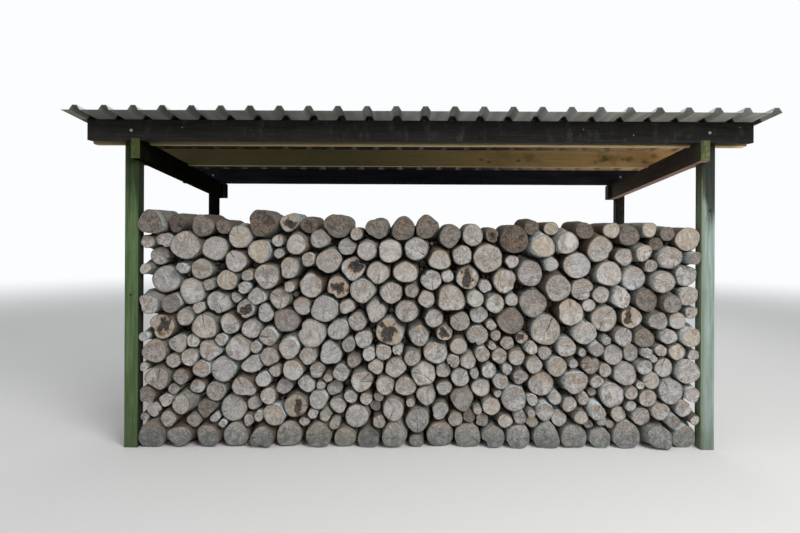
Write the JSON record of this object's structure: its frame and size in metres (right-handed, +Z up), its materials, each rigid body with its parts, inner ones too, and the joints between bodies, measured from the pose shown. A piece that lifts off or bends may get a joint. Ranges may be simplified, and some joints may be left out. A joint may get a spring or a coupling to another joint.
{
  "type": "open-sided log store",
  "caption": "Open-fronted log store: square posts, sloping rails, dark beams and a ribbed steel roof over stacked round logs laid end-on to the front.",
  "frame": {"origin": "on the ground, under the middle of the roof", "axes": "+X to the right along the open front, +Y to the back, +Z up"},
  "size_m": [4.9306, 2.4905, 2.4521],
  "materials": {
    "front_posts": "treated softwood, weathered grey-green with algae",
    "dark_timber": "sawn softwood with a weathered black-brown stain",
    "pale_timber": "untreated sawn softwood with knots",
    "roof_steel": "grey coated box-profile steel, dull underneath",
    "logs": "sawn log ends, weathered and cracked, with thin grey-green bark"
  },
  "bodies": {
    "root": {"post_front_left": "front_posts", "post_front_right": "front_posts", "post_back_left": "dark_timber", "post_back_right": "dark_timber", "side_rail_left": "dark_timber", "side_rail_right": "dark_timber", "front_beam": "dark_timber", "back_beam": "dark_timber", "rail_block_left": "dark_timber", "rail_block_right": "dark_timber", "front_purlin": "pale_timber", "middle_purlin": "pale_timber", "roof_sheet_1": "roof_steel", "roof_sheet_2": "roof_steel", "roof_sheet_3": "roof_steel", "roof_sheet_4": "roof_steel", "roof_sheet_5": "roof_steel", "front_logs_1": "logs", "front_logs_2": "logs", "front_logs_3": "logs", "front_logs_4": "logs", "front_logs_5": "logs", "front_logs_6": "logs", "front_logs_7": "logs", "front_logs_8": "logs", "rear_logs_1": "logs", "rear_logs_2": "logs", "rear_logs_3": "logs", "rear_logs_4": "logs", "rear_logs_5": "logs"}
  },
  "joints": []
}
